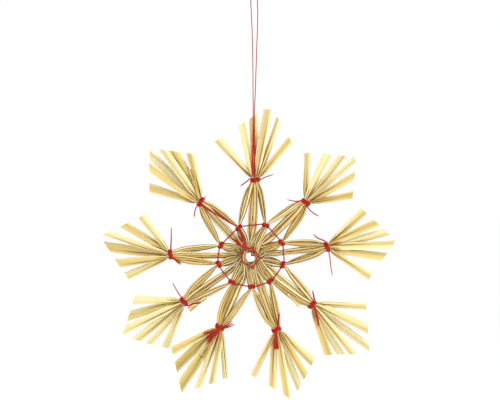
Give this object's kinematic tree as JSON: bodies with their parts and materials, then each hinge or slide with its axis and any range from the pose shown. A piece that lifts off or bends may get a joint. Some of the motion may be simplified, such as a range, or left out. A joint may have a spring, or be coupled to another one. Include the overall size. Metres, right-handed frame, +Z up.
{
  "type": "straw star ornament",
  "caption": "Hanging star of flattened straws bound with red thread: spindle arms open into trimmed fans round a small hole.",
  "frame": {"origin": "top of the hanging thread's loop, where a hook, nail or twig holds it", "axes": "+Z up, the star hangs in the XZ plane with its front towards -Y"},
  "size_m": [0.1604, 0.006, 0.2255],
  "materials": {
    "straw": "dried wheat straw, pressed flat, natural satin",
    "thread": "twisted red cotton, matt"
  },
  "bodies": {
    "root": {"straw_01": "straw", "straw_02": "straw", "straw_03": "straw", "straw_04": "straw", "straw_05": "straw", "straw_06": "straw", "straw_07": "straw", "straw_08": "straw", "straw_09": "straw", "straw_10": "straw", "straw_11": "straw", "straw_12": "straw", "straw_13": "straw", "straw_14": "straw", "straw_15": "straw", "straw_16": "straw", "straw_17": "straw", "straw_18": "straw", "straw_19": "straw", "straw_20": "straw", "straw_21": "straw", "straw_22": "straw", "straw_23": "straw", "straw_24": "straw", "straw_25": "straw", "straw_26": "straw", "straw_27": "straw", "splinter_upper_left": "straw", "splinter_lower_left": "straw", "splinter_bottom_left": "straw", "splinter_lower_right": "straw", "tie_top": "thread", "tie_upper_left": "thread", "tie_left": "thread", "tie_lower_left": "thread", "tie_bottom_left": "thread", "tie_bottom_right": "thread", "tie_lower_right": "thread", "tie_right": "thread", "tie_upper_right": "thread", "ring_thread": "thread", "centre_thread": "thread", "hanging_thread": "thread"}
  },
  "joints": []
}
